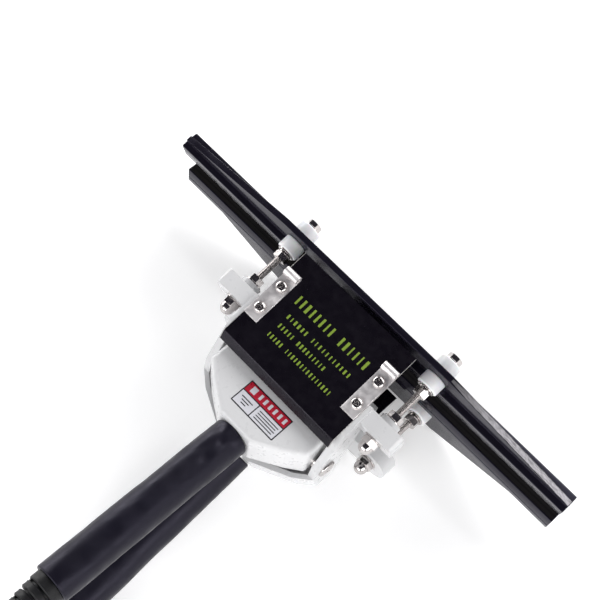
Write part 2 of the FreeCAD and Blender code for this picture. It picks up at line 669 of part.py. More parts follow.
upper_jaw_arm()
lower_jaw_arm()
OVER = LOWERED.multiply(HALF_TURN)
for jaw_side, resting_turn in (("upper", RAISED), ("lower", OVER)):
    jaw(jaw_side, resting_turn)
    seal_strip(jaw_side, resting_turn)
    heater(jaw_side, resting_turn)
    stud_sets(jaw_side, resting_turn)
handle("upper", LOWERED)
handle("lower", RAISED.multiply(HALF_TURN))
strain_relief()
end_cap(RAISED.multiply(HALF_TURN))
cover("cover", "<cover_half>", "<cover_front>", "<clip_inset>", RAISED)
clip("left", "-")
clip("right", "")
cover_screws("cover_screws", "<clip_inset>", "<cover_top> + <sheet_metal>", RAISED)
cover("lower_cover", "<low_cover_half>", "<low_cover_front>", "<low_screw_inset>", OVER)
cover_screws("lower_cover_screws", "<low_screw_inset>", "<cover_top>", OVER)
hinge_hardware()
return_spring()
doc.recompute()

# The origin moves from the hinge to the surface the sealer lies on, under the middle of its box.
whole = FreeCAD.BoundBox()
for node in nodes:
    whole.add(node.Shape.optimalBoundingBox(False, False))
to_stand = Vector(-whole.Center.x, -whole.Center.y, -whole.ZMin)
for node in nodes:
    node.Placement = Placement(to_stand, node.Placement.Rotation)
doc.recompute()
print("hinge axis at", to_stand)

for item in doc.Objects:
    if "Invalid" in item.State or "Error" in item.State:
        raise RuntimeError(f"{item.Label} did not build: {item.State}")
os.makedirs("parts", exist_ok=True)
for node in nodes:
    shape = node.Shape
    if shape.isNull() or not shape.isValid():
        raise RuntimeError(f"{node.Label} has no valid shape")
    shape.exportStep(f"parts/{node.Label}.step")
    solids = len(shape.Solids)
    print(f"{node.Label:22s} {solids:3d} solids {shape.Volume / 1000:9.2f} cm3 {shape.BoundBox}")
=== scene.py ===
import json
import math
import random

import bmesh
import bpy
from mathutils import Matrix, Vector, noise


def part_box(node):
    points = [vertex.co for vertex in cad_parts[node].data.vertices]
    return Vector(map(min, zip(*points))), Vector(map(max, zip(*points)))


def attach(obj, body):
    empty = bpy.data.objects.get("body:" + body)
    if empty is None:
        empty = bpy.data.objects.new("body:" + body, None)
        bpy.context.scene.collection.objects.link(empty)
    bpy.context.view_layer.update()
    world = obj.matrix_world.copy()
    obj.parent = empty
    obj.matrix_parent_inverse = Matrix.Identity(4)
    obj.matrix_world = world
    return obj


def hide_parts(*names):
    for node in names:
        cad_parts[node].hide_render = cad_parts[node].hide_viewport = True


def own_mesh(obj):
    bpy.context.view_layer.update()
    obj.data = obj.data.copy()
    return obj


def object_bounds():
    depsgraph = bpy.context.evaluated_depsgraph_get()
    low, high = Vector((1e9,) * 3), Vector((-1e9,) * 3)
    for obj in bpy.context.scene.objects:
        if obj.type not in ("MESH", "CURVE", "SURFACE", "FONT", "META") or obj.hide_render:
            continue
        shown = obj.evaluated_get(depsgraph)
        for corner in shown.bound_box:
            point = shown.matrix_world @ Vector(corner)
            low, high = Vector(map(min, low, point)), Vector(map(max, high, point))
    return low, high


# The looks of a hand-held jaw sealer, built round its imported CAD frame. Scene units are metres.
# Pieces are drawn in millimetres with the jaws shut, as the CAD is: hinge axis along X through the
# origin, jaws in front (+Y), handles behind.  The matrices below put each side in its resting place.

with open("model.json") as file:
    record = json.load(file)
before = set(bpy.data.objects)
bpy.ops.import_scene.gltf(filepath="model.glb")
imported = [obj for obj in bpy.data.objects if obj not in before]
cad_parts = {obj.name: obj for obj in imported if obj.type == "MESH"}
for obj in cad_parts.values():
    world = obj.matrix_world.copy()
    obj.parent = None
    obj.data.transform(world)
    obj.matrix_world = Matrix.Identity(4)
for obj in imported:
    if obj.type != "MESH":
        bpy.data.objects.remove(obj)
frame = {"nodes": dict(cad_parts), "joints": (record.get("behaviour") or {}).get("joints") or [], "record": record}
cad_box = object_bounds()

TAU = 2 * math.pi
MM = 0.001
HALF_OPENING = math.radians(7.17)
HINGE = Vector(frame["joints"][0]["pos_m"])
TURNED_OVER = Matrix.Rotation(math.pi, 4, "Y")


def resting(angle):
    return Matrix.Translation(HINGE) @ Matrix.Rotation(angle, 4, "X") @ Matrix.Scale(MM, 4)


RAISED = resting(HALF_OPENING)                  # upper jaw, cover and the outer casting
LOWERED = resting(-HALF_OPENING)                # the inner casting and the upper handle
LOWER_JAW = LOWERED @ TURNED_OVER
LOWER_HANDLE = RAISED @ TURNED_OVER
OUTER_BODY = "upper_jaw_arm"
INNER_BODY = "lower_jaw_arm"

# Sizes in millimetres, as in the CAD.
JAW_REACH = 102.7
STUD_SPREAD = 73
STUD_LEVEL = 27.3
STUD_RADIUS = 3
STUD_HOLE = 3.2
STUD_BACK = 29
STUD_FRONT = 117
HEAD_HEIGHT = 4
HEAD_EASE = 0.05                                # taken off the heads, which are turned a little
HEXAGON_RADIUS = 6.1
NUT_HEIGHT = 5.2
ACORN_RADIUS = 7
ACORN_BASE = 5
ACORN_NECK = 6.5
DOME_RADIUS = 5.7
WASHER_SHEET = 1.2
WASHER_RADIUS = 7.2
HEAD_WASHER = 6.6
ACORN_WASHER = 7.6
SPLIT_RADIUS = 5.7
SPLIT_HEIGHT = 1.6
FIN_THICKNESS = 5
JAW_HALF = 200
BAR_WIDTH = 15.4
BAR_BOTTOM = 0.8
BAR_TOP = 17
GROOVE_LOW = 10.6                               # a shallow line along the back of each bar
GROOVE_HIGH = 11.8
GROOVE_DEPTH = 0.35
FIN_END = 19.5
FIN_TOP = 48
FIN_FLAT = 84
HEATER_RADIUS = 4
HEATER_LEVEL = 8.6
FRONT_BUSH_END = 116
REAR_BUSH_END = 89.6
BUSH_RADIUS = 8.9
BOSS_END = 54.8
EAR_BACK = 36.5
THREAD_PITCH = 1.0
COVER_HALF = 56.5
COVER_BACK = 14
COVER_FRONT = 96
COVER_TOP = 46
LOW_COVER_HALF = 49.5
LOW_COVER_FRONT = 97.5
LOW_SCREW_INSET = 39.5
SHEET_METAL = 1.2
CLIP_INSET = 49.8
CLIP_WIDTH = 13
CLIP_BACK = 34
CLIP_FRONT = 80
SCREW_ROWS = (43.8, 65.4)
SHELL_TOP = 36
GRIP_RADIUS = 15.5
TUBE_RADIUS = 13.4
TUBE_BORE = 11.9
TUBE_LENGTH = 178
GRIP_FROM = 17.2
GRIP_TO = 178.4
NECK_FOOT = 22                                  # where a handle's axis begins, behind the hinge
GRIP_START = 16
HANDLE_LEVEL = 17
HANDLE_SLOPES = {"upper": math.radians(4.2), "lower": math.radians(1.5)}
PIVOT_RADIUS = 4
OUTER_HALF = 60
HOLE_REACH = 5                                  # how far a drilled hole's tool passes each side of the fin
PAN_HEIGHT = 2.9
PAN_RADIUS = 4.5
PAN_RIM = 0.7
PAN_SHANK = 2.1
PAN_LENGTH = 9
PIVOT_HEAD = 7.5
PIVOT_RIM = 0.9
PIVOT_RISE = 2.1
PIVOT_LENGTH = 20
BOOT_RIBS = 6
RIB_PITCH = 7.0
RIB_GAP = 1.6
CLIP_ROLL = 3.3
PANEL_LEVEL = 0.11
PRINT_LEVEL = 0.15
SUNK = 0.02                                     # how far print and label reach into their surface
CLOSED_ENDS = 0.045                             # how much closer the spring's turns lie near its ends


# ---------------------------------------------------------------- materials

class Finish:
    """A node material, built up from a Principled shader."""

    def __init__(self, name, colour, roughness, metallic=0.0, **inputs):
        self.material = bpy.data.materials.new(name)
        self.material.use_nodes = True
        self.tree = self.material.node_tree
        self.shader = self.tree.nodes["Principled BSDF"]
        self.colour = (*colour, 1)
        self.place = self.add("ShaderNodeTexCoord").outputs["Object"]
        self.shader.inputs["Base Color"].default_value = self.colour
        self.shader.inputs["Roughness"].default_value = roughness
        self.shader.inputs["Metallic"].default_value = metallic
        for key, value in inputs.items():
            self.shader.inputs[key.replace("_", " ")].default_value = value

    def add(self, kind, **settings):
        node = self.tree.nodes.new(kind)
        for key, value in settings.items():
            setattr(node, key, value)
        return node

    def feed(self, node, **sources):
        """Sets or links a node's inputs by name; underscores stand for spaces."""
        for key, source in sources.items():
            socket = node.inputs[key.replace("_", " ")]
            if isinstance(source, bpy.types.NodeSocket):
                self.tree.links.new(source, socket)
            else:
                socket.default_value = source
        return node

    def grain(self, scale, detail=3.0, stretch=(1, 1, 1)):
        """Noise in object space; scale is in cells per metre."""
        mapping = self.feed(self.add("ShaderNodeMapping"), Vector=self.place, Scale=stretch)
        texture = self.feed(self.add("ShaderNodeTexNoise"), Vector=mapping.outputs[0], Scale=scale,
                            Detail=detail)
        return texture.outputs["Fac"]

    def spread(self, value, low, high, to_low=0.0, to_high=1.0):
        node = self.add("ShaderNodeMapRange")
        self.feed(node, Value=value, From_Min=low, From_Max=high, To_Min=to_low, To_Max=to_high)
        return node.outputs[0]

    def tint(self, factor, colour):
        """Mixes another colour over what the shader has so far."""
        socket = self.shader.inputs["Base Color"]
        node = self.add("ShaderNodeMix", data_type="RGBA")
        factor_in, low_in, high_in = node.inputs[0], node.inputs[6], node.inputs[7]
        if socket.is_linked:
            self.tree.links.new(socket.links[0].from_socket, low_in)
        else:
            low_in.default_value = socket.default_value
        high_in.default_value = (*colour, 1)
        self.tree.links.new(factor, factor_in)
        self.tree.links.new(node.outputs[2], socket)
        return self

    def rough(self, value, low, high):
        """Varies the roughness between two values with a texture."""
        self.tree.links.new(self.spread(value, 0.3, 0.7, low, high), self.shader.inputs["Roughness"])
        return self

    def bump(self, height, depth):
        """Adds relief of that depth in metres, over what the normal is so far."""
        node = self.feed(self.add("ShaderNodeBump"), Height=height, Distance=depth, Strength=1.0)
        socket = self.shader.inputs["Normal"]
        if socket.is_linked:
            self.tree.links.new(socket.links[0].from_socket, node.inputs["Normal"])
        self.tree.links.new(node.outputs[0], socket)
        return self

    def soften(self, radius):
        """Rounds the light on sharp edges, as a small edge radius does."""
        node = self.feed(self.add("ShaderNodeBevel", samples=6), Radius=radius)
        self.tree.links.new(node.outputs[0], self.shader.inputs["Normal"])
        return self


def enamel(name, colour, roughness):
    """Glossy paint on a casting: uneven gloss, a little grime."""
    made = Finish(name, colour, roughness, Coat_Weight=0.35, Coat_Roughness=0.12)
    made.soften(0.0007)
    made.tint(made.spread(made.grain(45, 5), 0.45, 0.8, 0, 0.35), [c * 0.93 for c in colour])
    made.rough(made.grain(220, 4), roughness - 0.06, roughness + 0.1)
    return made.material


def anodised(name, colour, roughness):
    """Extruded aluminium with a dark skin and fine lines along the bar."""
    made = Finish(name, colour, roughness, Specular_IOR_Level=0.34, Specular_Tint=(0.72, 0.68, 0.92, 1))
    made.soften(0.0004)
    lines = made.grain(1, 3, stretch=(12, 2600, 2600))
    made.tint(made.spread(lines, 0.5, 0.8, 0, 0.5), [c * 1.9 + 0.004 for c in colour])
    made.tint(made.spread(made.grain(60, 5), 0.5, 0.75, 0, 0.4), [c * 0.5 for c in colour])
    made.rough(made.grain(90, 4), roughness - 0.04, roughness + 0.07)
    made.bump(lines, 0.000008)
    return made.material


def plated(name, colour, roughness, scale=500):
    """Bright zinc or chrome plate with faint cloudiness and handling marks."""
    made = Finish(name, colour, roughness, metallic=1.0)
    made.soften(0.00025)
    made.tint(made.spread(made.grain(scale * 0.5, 3), 0.45, 0.8, 0, 0.5), [c * 0.78 for c in colour])
    made.rough(made.grain(scale * 0.8, 3), roughness - 0.04, roughness + 0.1)
    made.bump(made.grain(scale, 1), 0.000003)
    return made.material


def brushed(name, colour, roughness, stretch):
    """Metal brushed along the short axis of the stretch."""
    made = Finish(name, colour, roughness, metallic=1.0)
    made.soften(0.00025)
    lines = made.grain(1, 4, stretch=stretch)
    made.tint(made.spread(lines, 0.35, 0.7, 0, 0.75), [c * 0.6 for c in colour])
    made.rough(lines, roughness - 0.05, roughness + 0.15)
    made.bump(lines, 0.00003)
    return made.material


def powder(name, colour, roughness):
    """Black powder coat: fine texture, semi gloss, a little dust."""
    made = Finish(name, colour, roughness, Specular_IOR_Level=0.3, Specular_Tint=(0.9, 0.84, 1.0, 1))
    made.tint(made.spread(made.grain(70, 5), 0.5, 0.8, 0, 0.5), [c * 1.4 + 0.001 for c in colour])
    made.rough(made.grain(160, 4), roughness - 0.05, roughness + 0.12)
    made.bump(made.grain(1400, 2), 0.00003)
    return made.material


def shrink_sleeve(name, colour, roughness):
    """Satin heat-shrink skin: soft creases, rubbed patches."""
    made = Finish(name, colour, roughness, Specular_IOR_Level=0.24, Specular_Tint=(0.82, 0.78, 1.0, 1))
    made.tint(made.spread(made.grain(38, 5), 0.45, 0.8, 0, 0.6), [c * 1.9 + 0.002 for c in colour])
    made.tint(made.spread(made.grain(1900, 2), 0.7, 0.78, 0, 0.2), (0.05, 0.05, 0.055))
    made.rough(made.grain(60, 5), roughness - 0.07, roughness + 0.14)
    made.bump(made.grain(120, 3, stretch=(1, 0.5, 1)), 0.00025)
    made.bump(made.grain(1500, 2), 0.00002)
    return made.material


def rubber(name, colour, roughness):
    """Moulded rubber with a fine dry grain."""
    made = Finish(name, colour, roughness, Specular_IOR_Level=0.3)
    made.tint(made.spread(made.grain(300, 5), 0.5, 0.8, 0, 0.6), [c * 2.0 + 0.004 for c in colour])
    made.rough(made.grain(500, 3), roughness - 0.08, roughness + 0.1)
    made.bump(made.grain(2200, 2), 0.00004)
    return made.material


def porcelain(name, colour, roughness):
    """The white insulating bushes: faintly translucent, smooth."""
    made = Finish(name, colour, roughness, Subsurface_Weight=0.1, Subsurface_Scale=0.002)
    made.tint(made.spread(made.grain(260, 4), 0.5, 0.85, 0, 0.4), [c * 0.88 for c in colour])
    made.rough(made.grain(420, 3), roughness - 0.05, roughness + 0.1)
    made.bump(made.grain(900, 2), 0.00002)
    return made.material


def glass_cloth(name, colour, roughness):
    """Coated glass cloth: a fine square weave under a smooth skin."""
    made = Finish(name, colour, roughness, Specular_IOR_Level=0.05, Specular_Tint=(0.8, 0.76, 1.0, 1))
    waves = []
    for direction in ("X", "Y"):
        wave = made.add("ShaderNodeTexWave", bands_direction=direction)
        waves.append(made.feed(wave, Vector=made.place, Scale=260, Distortion=0.6).outputs["Fac"])
    weave = made.add("ShaderNodeMath", operation="MULTIPLY")
    made.tree.links.new(waves[0], weave.inputs[0])
    made.tree.links.new(waves[1], weave.inputs[1])
    made.tint(made.spread(weave.outputs[0], 0.2, 0.8, 0, 0.7), [c * 0.55 for c in colour])
    made.tint(made.spread(made.grain(50, 5), 0.5, 0.75, 0, 0.6), [c * 0.4 for c in colour])
    made.bump(weave.outputs[0], 0.00005)
    return made.material


def print_ink(name, colour, roughness=0.4):
    """A printed colour, a little uneven where the ink is thin."""
    made = Finish(name, colour, roughness)
    made.tint(made.spread(made.grain(160, 3), 0.4, 0.8, 0, 0.35), [c * 0.75 for c in colour])
    made.rough(made.grain(700, 2), roughness - 0.05, roughness + 0.1)
    return made.material


def milled(name, colour, roughness):
    """Bare aluminium with faint cutter arcs and long streaks, darker towards the middle of the jaw."""
    made = Finish(name, colour, roughness, metallic=1.0)
    bands = made.add("ShaderNodeTexWave", bands_direction="DIAGONAL")
    arcs = made.feed(bands, Vector=made.place, Scale=190, Distortion=9, Detail=3).outputs["Fac"]
    made.tint(made.spread(arcs, 0.3, 0.9, 0, 0.22), [c * 0.5 for c in colour])
    streaks = made.grain(1, 4, stretch=(70, 700, 700))
    made.tint(made.spread(streaks, 0.42, 0.66, 0, 0.75), [c * 0.3 for c in colour])
    split = made.add("ShaderNodeSeparateXYZ")
    made.tree.links.new(made.place, split.inputs[0])
    dull, bright = 0.082, 0.125                  # x in metres, where the darkening begins to fade and ends
    made.tint(made.spread(split.outputs["X"], dull, bright, 0.85, 0.0), [c * 0.12 for c in colour])
    made.rough(streaks, roughness - 0.08, roughness + 0.12)
    made.bump(arcs, 0.00001)
    return made.material


MATERIALS = {
    "casting": enamel("white_enamel", (0.64, 0.64, 0.648), 0.3),
    "jaw_black": anodised("black_anodised", (0.007, 0.006, 0.011), 0.2),
    "non_stick": glass_cloth("glass_cloth", (0.005, 0.0045, 0.004), 0.5),
    "heater_sheath": brushed("heater_sheath", (0.42, 0.40, 0.38), 0.35, (8, 1800, 1800)),
    "insulator": porcelain("white_bush", (0.88, 0.88, 0.90), 0.32),
    "fastener": plated("bright_zinc", (0.55, 0.52, 0.51), 0.16),
    "cover_black": powder("black_powder_coat", (0.004, 0.0032, 0.0055), 0.26),
    "clip_metal": plated("bright_strip", (0.92, 0.89, 0.89), 0.48, 260),
    "tube_steel": brushed("tube_steel", (0.40, 0.40, 0.40), 0.32, (1500, 20, 1500)),
    "sleeve": shrink_sleeve("shrink_sleeve", (0.006, 0.0055, 0.010), 0.38),
    "boot": rubber("black_rubber", (0.004, 0.004, 0.005), 0.5),
    "spring_steel": plated("spring_wire", (0.42, 0.41, 0.40), 0.3),
}
CUT_EDGE = brushed("cut_edge", (0.62, 0.60, 0.58), 0.35, (900, 900, 900))
MILLED = milled("milled_slope", (0.70, 0.68, 0.71), 0.5)
GREEN_INK = print_ink("green_ink", (0.20, 0.30, 0.035))
RED_INK = print_ink("red_ink", (0.45, 0.010, 0.030), 0.3)
WHITE_INK = print_ink("label_white", (0.64, 0.64, 0.68), 0.3)
BLACK_INK = print_ink("black_ink", (0.008, 0.008, 0.012), 0.35)

for part in frame["record"]["subparts"]:
    skin = frame["nodes"][part["node"]]
    skin.data.materials.clear()
    skin.data.materials.append(MATERIALS[part["material_slot"]])


# ---------------------------------------------------------------- mesh tools

def finish_piece(name, bm, matrix, body, materials, replaces=(), smooth=35):
    """Turns a drawn mesh into a named piece in its resting place on its body."""
    bmesh.ops.remove_doubles(bm, verts=bm.verts, dist=1e-5)
    bmesh.ops.recalc_face_normals(bm, faces=bm.faces)
    mesh = bpy.data.meshes.new(name)
    bm.to_mesh(mesh)
    bm.free()
    mesh.transform(matrix)
    for material in materials:
        mesh.materials.append(material)
    mesh.shade_smooth()
    mesh.set_sharp_from_angle(angle=math.radians(smooth))
    piece = bpy.data.objects.new(name, mesh)
    bpy.context.scene.collection.objects.link(piece)
    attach(piece, body)
    if replaces:
        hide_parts(*replaces)
    return piece


def revolve(bm, rings, axis, segments=40, closed=False):
    """Skins rings about an axis. A ring is (radius, height), or a function of the angle that gives it."""
    loops = []
    for ring in rings:
        pole = not callable(ring) and ring[0] == 0
        loop = []
        for step in range(1 if pole else segments):
            angle = TAU * step / segments
            radius, height = ring(angle) if callable(ring) else ring
            point = Vector((radius * math.cos(angle), radius * math.sin(angle), height))
            loop.append(bm.verts.new(axis @ point))
        loops.append(loop)
    if closed:
        loops.append(loops[0])
    faces = []
    for low, high in zip(loops, loops[1:]):
        for step in range(segments):
            after = (step + 1) % segments
            corners = [low[step % len(low)], low[after % len(low)],
                       high[after % len(high)], high[step % len(high)]]
            corners = list(dict.fromkeys(corners))
            if len(corners) > 2:
                faces.append(bm.faces.new(corners))
    return faces


def skin(bm, loops):
    """Joins equal loops of vertices side by side and closes both ends."""
    count = len(loops[0])
    for one, two in zip(loops, loops[1:]):
        for i in range(count):
            bm.faces.new([one[i], one[(i + 1) % count], two[(i + 1) % count], two[i]])
    bm.faces.new(loops[0][::-1])
    bm.faces.new(loops[-1])


def on_stud(x, y=0.0):
    """An axis along +Y through a stud, starting at y."""
    return Matrix.Translation((x, y, STUD_LEVEL)) @ Matrix.Rotation(-math.pi / 2, 4, "X")


def rounded_disc(radius, bore, height, edge):
    """The closed outline of a washer or bush, with rounded rims."""
    turns = [math.radians(a) for a in (0, 22.5, 45, 67.5, 90)]
    rings = [(bore, 0.0)]
    rings += [(radius - edge + edge * math.sin(t), edge - edge * math.cos(t)) for t in turns]
    rings += [(radius - edge + edge * math.cos(t), height - edge + edge * math.sin(t)) for t in turns]
    rings.append((bore, height))
    return rings


def hexagon_at(angle, radius):
    """Distance from the middle to a hexagon's side in that direction."""
    sixth = TAU / 6
    return radius * math.cos(sixth / 2) / math.cos(angle % sixth - sixth / 2)


def hexagon_rings(radius, height, bore, chamfer_low=True, chamfer_high=True):
    """A hexagon block whose corners are turned down by a shallow cone."""
    inner = radius * 0.89
    slope = math.tan(math.radians(28))

    def corner_drop(angle):
        return max(0.0, hexagon_at(angle, radius) - inner) * slope

    def flat_end(level):
        return lambda angle: (min(inner, hexagon_at(angle, radius)), level)

    def side_low(angle):
        return hexagon_at(angle, radius), corner_drop(angle) if chamfer_low else 0.0

    def side_high(angle):
        return hexagon_at(angle, radius), height - (corner_drop(angle) if chamfer_high else 0.0)

    start = [(bore, 0.0), flat_end(0.0)] if chamfer_low else [(bore, 0.0)]
    end = [flat_end(height), (bore, height)] if chamfer_high else [(bore, height)]
    return start + [side_low, side_high] + end


def thread_rings(radius, start, end, pitch):
    """Rings that make a helical screw thread."""
    depth = 0.55 * pitch
    per_turn = 8
    count = int((end - start) / pitch * per_turn)

    def ring_at(index):
        along = start + (end - start) * index / count
        fade = min(1.0, 4 * index / count, 4 * (1 - index / count))

        def ring(angle):
            phase = (along / pitch - angle / TAU) % 1.0
            groove = min(1.0, max(0.0, 1.5 - 4 * abs(phase - 0.5)))
            return radius - 0.03 - depth * groove * fade, along
        return ring

    return [ring_at(index) for index in range(count + 1)]


def bend_path(points, radius, steps=6):
    """A path with each inner corner turned into an arc."""
    out = [Vector(points[0])]
    for before, here, after in zip(points, points[1:], points[2:]):
        before, here, after = Vector(before), Vector(here), Vector(after)
        into, onward = (before - here).normalized(), (after - here).normalized()
        half = into.angle(onward) / 2
        reach = radius / math.tan(half)
        centre = here + (into + onward).normalized() * radius / math.sin(half)
        first, last = here + into * reach - centre, here + onward * reach - centre
        turn = first.angle_signed(last)
        for step in range(steps + 1):
            angle = -turn * step / steps
            spun = Vector((first.x * math.cos(angle) - first.y * math.sin(angle),
                           first.x * math.sin(angle) + first.y * math.cos(angle)))
            out.append(centre + spun)
    out.append(Vector(points[-1]))
    return out


def ribbon(path, thickness):
    """A closed outline: the path, and the same path set off to its left."""
    offset = []
    for index, here in enumerate(path):
        before, after = path[max(0, index - 1)], path[min(len(path) - 1, index + 1)]
        along = (after - before).normalized()
        offset.append(here + Vector((-along.y, along.x)) * thickness)
    return list(path) + offset[::-1]


def extrude_across(bm, outline, left, right):
    """A closed (y, z) outline drawn out along X; returns the two end faces."""
    rings = [[bm.verts.new((x, y, z)) for y, z in outline] for x in (left, right)]
    count = len(outline)
    for i in range(count):
        bm.faces.new([rings[0][i], rings[0][(i + 1) % count], rings[1][(i + 1) % count], rings[1][i]])
    return [bm.faces.new(rings[0]), bm.faces.new(rings[1][::-1])]


def plate(bm, x, y, width, depth, low, high, corner=0.3, steps=3, turn=0.0):
    """A thin rounded rectangle, centred on x and y; returns its faces."""
    points = []
    for quarter, (sx, sy) in enumerate(((1, 1), (-1, 1), (-1, -1), (1, -1))):
        for step in range(steps + 1):
            angle = (quarter + step / steps) * math.pi / 2
            px = sx * (width / 2 - corner) + corner * math.cos(angle)
            py = sy * (depth / 2 - corner) + corner * math.sin(angle)
            points.append((x + px * math.cos(turn) - py * math.sin(turn),
                           y + px * math.sin(turn) + py * math.cos(turn)))
    bottom = [bm.verts.new((px, py, low)) for px, py in points]
    top = [bm.verts.new((px, py, high)) for px, py in points]
    count = len(points)
    faces = [bm.faces.new([bottom[i], bottom[(i + 1) % count], top[(i + 1) % count], top[i]])
             for i in range(count)]
    faces += [bm.faces.new(top), bm.faces.new(bottom[::-1])]
    return faces


def carve(bm, tools):
    """Cuts the tools' shape out of a drawn mesh, and gives back the result."""
    solids = []
    for name, drawn in (("blank", bm), ("tool", tools)):
        bmesh.ops.recalc_face_normals(drawn, faces=drawn.faces)
        mesh = bpy.data.meshes.new(name)
        drawn.to_mesh(mesh)
        drawn.free()
        solids.append(bpy.data.objects.new(name, mesh))
        bpy.context.scene.collection.objects.link(solids[-1])
    blank, tool = solids
    modifier = blank.modifiers.new("carve", "BOOLEAN")
    modifier.operation = "DIFFERENCE"
    modifier.object = tool
    modifier.solver = "EXACT"
    bpy.context.view_layer.update()
    depsgraph = bpy.context.evaluated_depsgraph_get()
    carved = bmesh.new()
    carved.from_object(blank, depsgraph)
    bpy.data.objects.remove(blank)
    bpy.data.objects.remove(tool)
    return carved


# ---------------------------------------------------------------- jaws

def fin_height(x):
    """Height of a fin above the sealing plane at x."""
    share = max(0.0, (abs(x) - FIN_FLAT) / (JAW_HALF - FIN_FLAT))
    return FIN_TOP + (FIN_END - FIN_TOP) * share


def jaw_section(height, inset):
    """The (y, z) outline of a jaw: a bar with soft edges, a rear ledge, the fin and a sloped front ledge."""
    back = JAW_REACH - BAR_WIDTH / 2 + inset
    front = JAW_REACH + BAR_WIDTH / 2 - inset
    low, ledge, top = BAR_BOTTOM + inset, BAR_TOP - inset, height - inset
    fin_back = JAW_REACH - FIN_THICKNESS / 2 + inset
    fin_front = JAW_REACH + FIN_THICKNESS / 2 - inset
    groove = back + GROOVE_DEPTH
    return [
        (back + 0.6, low), (back + 0.15, low + 0.2), (back, low + 0.6),
        (back, GROOVE_LOW), (groove, GROOVE_LOW + 0.3), (groove, GROOVE_HIGH - 0.3), (back, GROOVE_HIGH),
        (back, ledge - 0.8), (back + 0.25, ledge - 0.25), (back + 0.8, ledge),
        (fin_back - 0.9, ledge), (fin_back - 0.25, ledge + 0.25), (fin_back, ledge + 0.9),
        (fin_back, top - 0.5), (fin_back + 0.15, top - 0.15), (fin_back + 0.5, top),
        (fin_front - 0.5, top), (fin_front - 0.15, top - 0.15), (fin_front, top - 0.5),
        (fin_front, ledge + 0.5), (fin_front + 0.2, ledge + 0.1), (fin_front + 0.7, ledge - 0.1),
        (front - 1.3, ledge - 0.7), (front - 0.4, ledge - 1.1), (front, ledge - 1.8),
        (front, low + 0.6), (front - 0.15, low + 0.2), (front - 0.6, low)]


def jaw_bar(side, matrix, body):
    """One jaw: the extruded bar and its tapered fin, bored for the heater and the studs."""
    bm, tools = bmesh.new(), bmesh.new()
    soft = 0.4
    slope = [FIN_FLAT + (JAW_HALF - soft - FIN_FLAT) * k / 10 for k in range(11)]
    level = [FIN_FLAT * (k / 7 - 1) for k in range(1, 14)]
    stations = [(-JAW_HALF, soft)] + [(-x, 0.0) for x in slope[::-1]] + [(x, 0.0) for x in level]
    stations += [(x, 0.0) for x in slope] + [(JAW_HALF, soft)]
    loops = [[bm.verts.new((x, y, z)) for y, z in jaw_section(fin_height(x), inset)] for x, inset in stations]
    skin(bm, loops)
    along = Matrix.Translation((0, JAW_REACH, HEATER_LEVEL)) @ Matrix.Rotation(math.pi / 2, 4, "Y")
    end = JAW_HALF + 2
    revolve(tools, [(0, -end), (HEATER_RADIUS, -end), (HEATER_RADIUS, end), (0, end)], along, 40)
    for x in (-STUD_SPREAD, STUD_SPREAD):
        drill = [(0, -HOLE_REACH), (STUD_HOLE, -HOLE_REACH), (STUD_HOLE, HOLE_REACH), (0, HOLE_REACH)]
        revolve(tools, drill, on_stud(x, JAW_REACH), 32)
    return finish_piece(side + "_jaw_bar", carve(bm, tools), matrix, body,
                        [MATERIALS["jaw_black"]], [side + "_jaw"], smooth=25)


def milled_strip():
    """The bare machined face on the right slope of the upper fin, its dark skin cut away unevenly."""
    random.seed(5)
    bm = bmesh.new()
    steps, start, end = 60, FIN_FLAT + 1, JAW_HALF - 0.6
    middle, half = JAW_REACH, FIN_THICKNESS / 2 - 0.35
    loops = []
    for step in range(steps + 1):
        x = start + (end - start) * step / steps
        opening = min(1.0, 0.6 + 3 * step / steps)
        back = middle - half * opening + random.uniform(0, 0.3)
        front = middle + half * opening - random.uniform(0, 0.3)
        top = fin_height(x) + 0.04
        loops.append([bm.verts.new((x, y, z)) for y, z in ((back, top - 0.3), (back, top), (front, top),
                                                            (front, top - 0.3))])
    skin(bm, loops)
    return finish_piece("milled_slope", bm, RAISED, OUTER_BODY, [MILLED])


jaw_bar("upper", RAISED, OUTER_BODY)
jaw_bar("lower", LOWER_JAW, INNER_BODY)
milled_strip()


# ---------------------------------------------------------------- studs and what is on them

